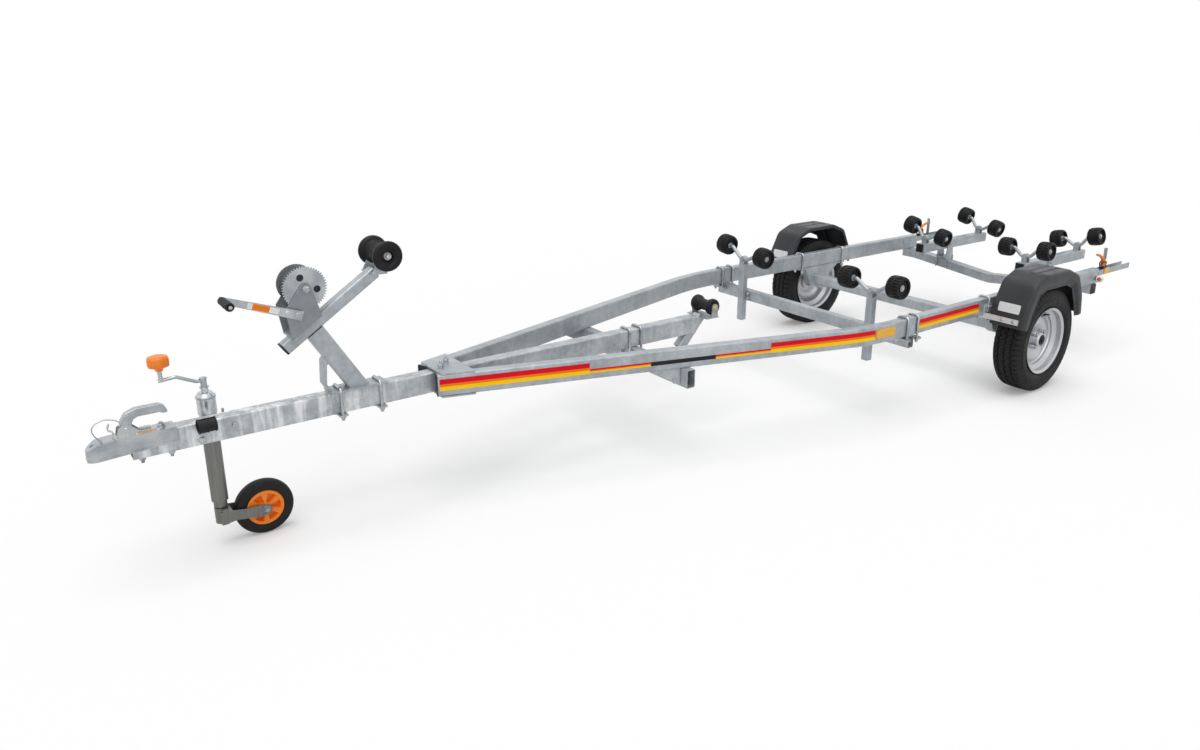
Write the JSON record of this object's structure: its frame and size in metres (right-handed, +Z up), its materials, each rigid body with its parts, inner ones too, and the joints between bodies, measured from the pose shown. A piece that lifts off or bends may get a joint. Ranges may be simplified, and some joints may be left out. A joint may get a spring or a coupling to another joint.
{
  "type": "boat trailer",
  "caption": "Boat trailer with two converging side beams, one axle, a drawbar with ball coupler and jockey wheel, a hand winch with bow stop, and rocking hull rollers",
  "frame": {"origin": "middle of the overall length, on the trailer's centre line, on the ground", "axes": "+X forward to the coupling, +Y to the trailer's left, +Z up"},
  "size_m": [5.42, 1.744, 1.024],
  "materials": {
    "galvanised": "hot-dip galvanised, spangled, satin",
    "zinc_plated": "bright zinc plated, fine satin",
    "black_plastic": "black moulded plastic, fine grain",
    "fender_plastic": "black moulded polyethylene, satin",
    "roller_rubber": "black rubber, satin",
    "tyre_rubber": "black tyre rubber, matt",
    "rim_silver": "silver wheel paint, semi-gloss",
    "orange_plastic": "orange moulded plastic, semi-gloss",
    "webbing": "black polyester webbing, woven",
    "grey_steel": "dull grey painted steel",
    "lamp_lens": "moulded lamp lens, glossy"
  },
  "bodies": {
    "root": {"main_beam_left": "galvanised", "main_beam_right": "galvanised", "drawbar": "galvanised", "end_plugs": "black_plastic", "meeting_plates": "galvanised", "front_crossmember": "galvanised", "roller_crossmember": "galvanised", "rear_crossmember": "galvanised", "coupler": "zinc_plated", "coupler_lever": "zinc_plated", "plug_holder": "black_plastic", "axle": "galvanised", "axle_arms": "galvanised", "fender_left": "fender_plastic", "fender_right": "fender_plastic", "fender_bars": "zinc_plated", "roller_posts": "galvanised", "swing_brackets": "galvanised", "keel_strut": "galvanised", "winch_stand": "galvanised", "winch_frame": "zinc_plated", "jockey_tube": "grey_steel", "jockey_crank": "zinc_plated", "jockey_knob": "orange_plastic", "light_holders": "galvanised", "light_levers": "orange_plastic", "marker_lamp": "lamp_lens"},
    "wheel_left": {"tyre_left": "tyre_rubber", "wheel_left": "rim_silver"},
    "wheel_right": {"tyre_right": "tyre_rubber", "wheel_right": "rim_silver"},
    "swing_left": {"swing_beam_left": "galvanised"},
    "swing_right": {"swing_beam_right": "galvanised"},
    "keel_roller": {"keel_roller": "roller_rubber"},
    "bow_roller": {"bow_roller": "roller_rubber"},
    "winch_drum": {"winch_drum": "zinc_plated", "winch_strap": "webbing"},
    "winch_crank": {"winch_crank": "zinc_plated", "crank_grip": "black_plastic"},
    "jockey_leg": {"jockey_leg": "zinc_plated"},
    "jockey_fork": {"jockey_fork": "zinc_plated"},
    "jockey_wheel": {"jockey_tyre": "tyre_rubber", "jockey_rim": "orange_plastic"},
    "rocker_front_left": {"rocker_front_left": "galvanised"},
    "rollers_front_left": {"rollers_front_left": "roller_rubber"},
    "rocker_front_right": {"rocker_front_right": "galvanised"},
    "rollers_front_right": {"rollers_front_right": "roller_rubber"},
    "rocker_mid_left": {"rocker_mid_left": "galvanised"},
    "rollers_mid_left": {"rollers_mid_left": "roller_rubber"},
    "rocker_mid_right": {"rocker_mid_right": "galvanised"},
    "rollers_mid_right": {"rollers_mid_right": "roller_rubber"},
    "rocker_rear_left": {"rocker_rear_left": "galvanised"},
    "rollers_rear_left": {"rollers_rear_left": "roller_rubber"},
    "rocker_rear_right": {"rocker_rear_right": "galvanised"},
    "rollers_rear_right": {"rollers_rear_right": "roller_rubber"}
  },
  "joints": [
    {"name": "wheel_left_spin", "type": "hinge", "parent": "root", "child": "wheel_left", "pos_m": [-1.44, 0.776, 0.273], "axis": [0, 1, 0], "continuous": true},
    {"name": "wheel_right_spin", "type": "hinge", "parent": "root", "child": "wheel_right", "pos_m": [-1.44, -0.776, 0.273], "axis": [0, 1, 0], "continuous": true},
    {"name": "jockey_raise", "type": "slide", "parent": "root", "child": "jockey_leg", "axis": [0, 0, 1], "range_m": [-0.05, 0.008]},
    {"name": "jockey_swivel", "type": "hinge", "parent": "jockey_leg", "child": "jockey_fork", "pos_m": [2.342, -0.06, 0.142], "axis": [0, 0, 1], "continuous": true},
    {"name": "jockey_wheel_spin", "type": "hinge", "parent": "jockey_fork", "child": "jockey_wheel", "pos_m": [2.202, -0.06, 0.101], "axis": [0, 1, 0], "continuous": true},
    {"name": "swing_left_rock", "type": "hinge", "parent": "root", "child": "swing_left", "pos_m": [-2.285, 0.345, 0.491], "axis": [0, 1, 0], "range_deg": [-8, 8]},
    {"name": "swing_right_rock", "type": "hinge", "parent": "root", "child": "swing_right", "pos_m": [-2.285, -0.345, 0.491], "axis": [0, 1, 0], "range_deg": [-8, 8]},
    {"name": "rocker_front_left_rock", "type": "hinge", "parent": "root", "child": "rocker_front_left", "pos_m": [-0.511, 0.437, 0.59], "axis": [1, 0, 0], "range_deg": [-19, 17]},
    {"name": "rollers_front_left_spin", "type": "hinge", "parent": "rocker_front_left", "child": "rollers_front_left", "pos_m": [-0.511, 0.43622, 0.63499], "axis": [0, 0.9998, 0.0175], "continuous": true},
    {"name": "rocker_front_right_rock", "type": "hinge", "parent": "root", "child": "rocker_front_right", "pos_m": [-0.511, -0.437, 0.59], "axis": [1, 0, 0], "range_deg": [-12, 24]},
    {"name": "rollers_front_right_spin", "type": "hinge", "parent": "rocker_front_right", "child": "rollers_front_right", "pos_m": [-0.511, -0.4323, 0.63475], "axis": [0, 0.9945, -0.1045], "continuous": true},
    {"name": "rocker_mid_left_rock", "type": "hinge", "parent": "swing_left", "child": "rocker_mid_left", "pos_m": [-2.05, 0.345, 0.553], "axis": [1, 0, 0], "range_deg": [-20.5, 15.5]},
    {"name": "rollers_mid_left_spin", "type": "hinge", "parent": "rocker_mid_left", "child": "rollers_mid_left", "pos_m": [-2.05, 0.34304, 0.59796], "axis": [0, 0.999, 0.0436], "continuous": true},
    {"name": "rocker_mid_right_rock", "type": "hinge", "parent": "swing_right", "child": "rocker_mid_right", "pos_m": [-2.05, -0.345, 0.553], "axis": [1, 0, 0], "range_deg": [-6, 30]},
    {"name": "rollers_mid_right_spin", "type": "hinge", "parent": "rocker_mid_right", "child": "rollers_mid_right", "pos_m": [-2.05, -0.33564, 0.59702], "axis": [0, 0.9781, -0.2079], "continuous": true},
    {"name": "rocker_rear_left_rock", "type": "hinge", "parent": "swing_left", "child": "rocker_rear_left", "pos_m": [-2.655, 0.345, 0.553], "axis": [1, 0, 0], "range_deg": [-30, 6]},
    {"name": "rollers_rear_left_spin", "type": "hinge", "parent": "rocker_rear_left", "child": "rollers_rear_left", "pos_m": [-2.655, 0.33564, 0.59702], "axis": [0, 0.9781, 0.2079], "continuous": true},
    {"name": "rocker_rear_right_rock", "type": "hinge", "parent": "swing_right", "child": "rocker_rear_right", "pos_m": [-2.655, -0.345, 0.553], "axis": [1, 0, 0], "range_deg": [-5, 31]},
    {"name": "rollers_rear_right_spin", "type": "hinge", "parent": "rocker_rear_right", "child": "rollers_rear_right", "pos_m": [-2.655, -0.33488, 0.59685], "axis": [0, 0.9744, -0.225], "continuous": true},
    {"name": "keel_roller_spin", "type": "hinge", "parent": "root", "child": "keel_roller", "pos_m": [0.165, 0, 0.534], "axis": [0, 1, 0], "continuous": true},
    {"name": "bow_roller_spin", "type": "hinge", "parent": "root", "child": "bow_roller", "pos_m": [1.728, 0, 0.97], "axis": [0, 1, 0], "continuous": true},
    {"name": "winch_drum_turn", "type": "hinge", "parent": "root", "child": "winch_drum", "pos_m": [2.015, 0, 0.893], "axis": [0, 1, 0], "continuous": true},
    {"name": "winch_crank_turn", "type": "hinge", "parent": "root", "child": "winch_crank", "pos_m": [2.05209, 0, 0.81034], "axis": [0, 1, 0], "continuous": true}
  ],
  "couplings": [
    {"joint": "winch_crank_turn", "follows": "winch_drum_turn", "ratio": -4}
  ]
}
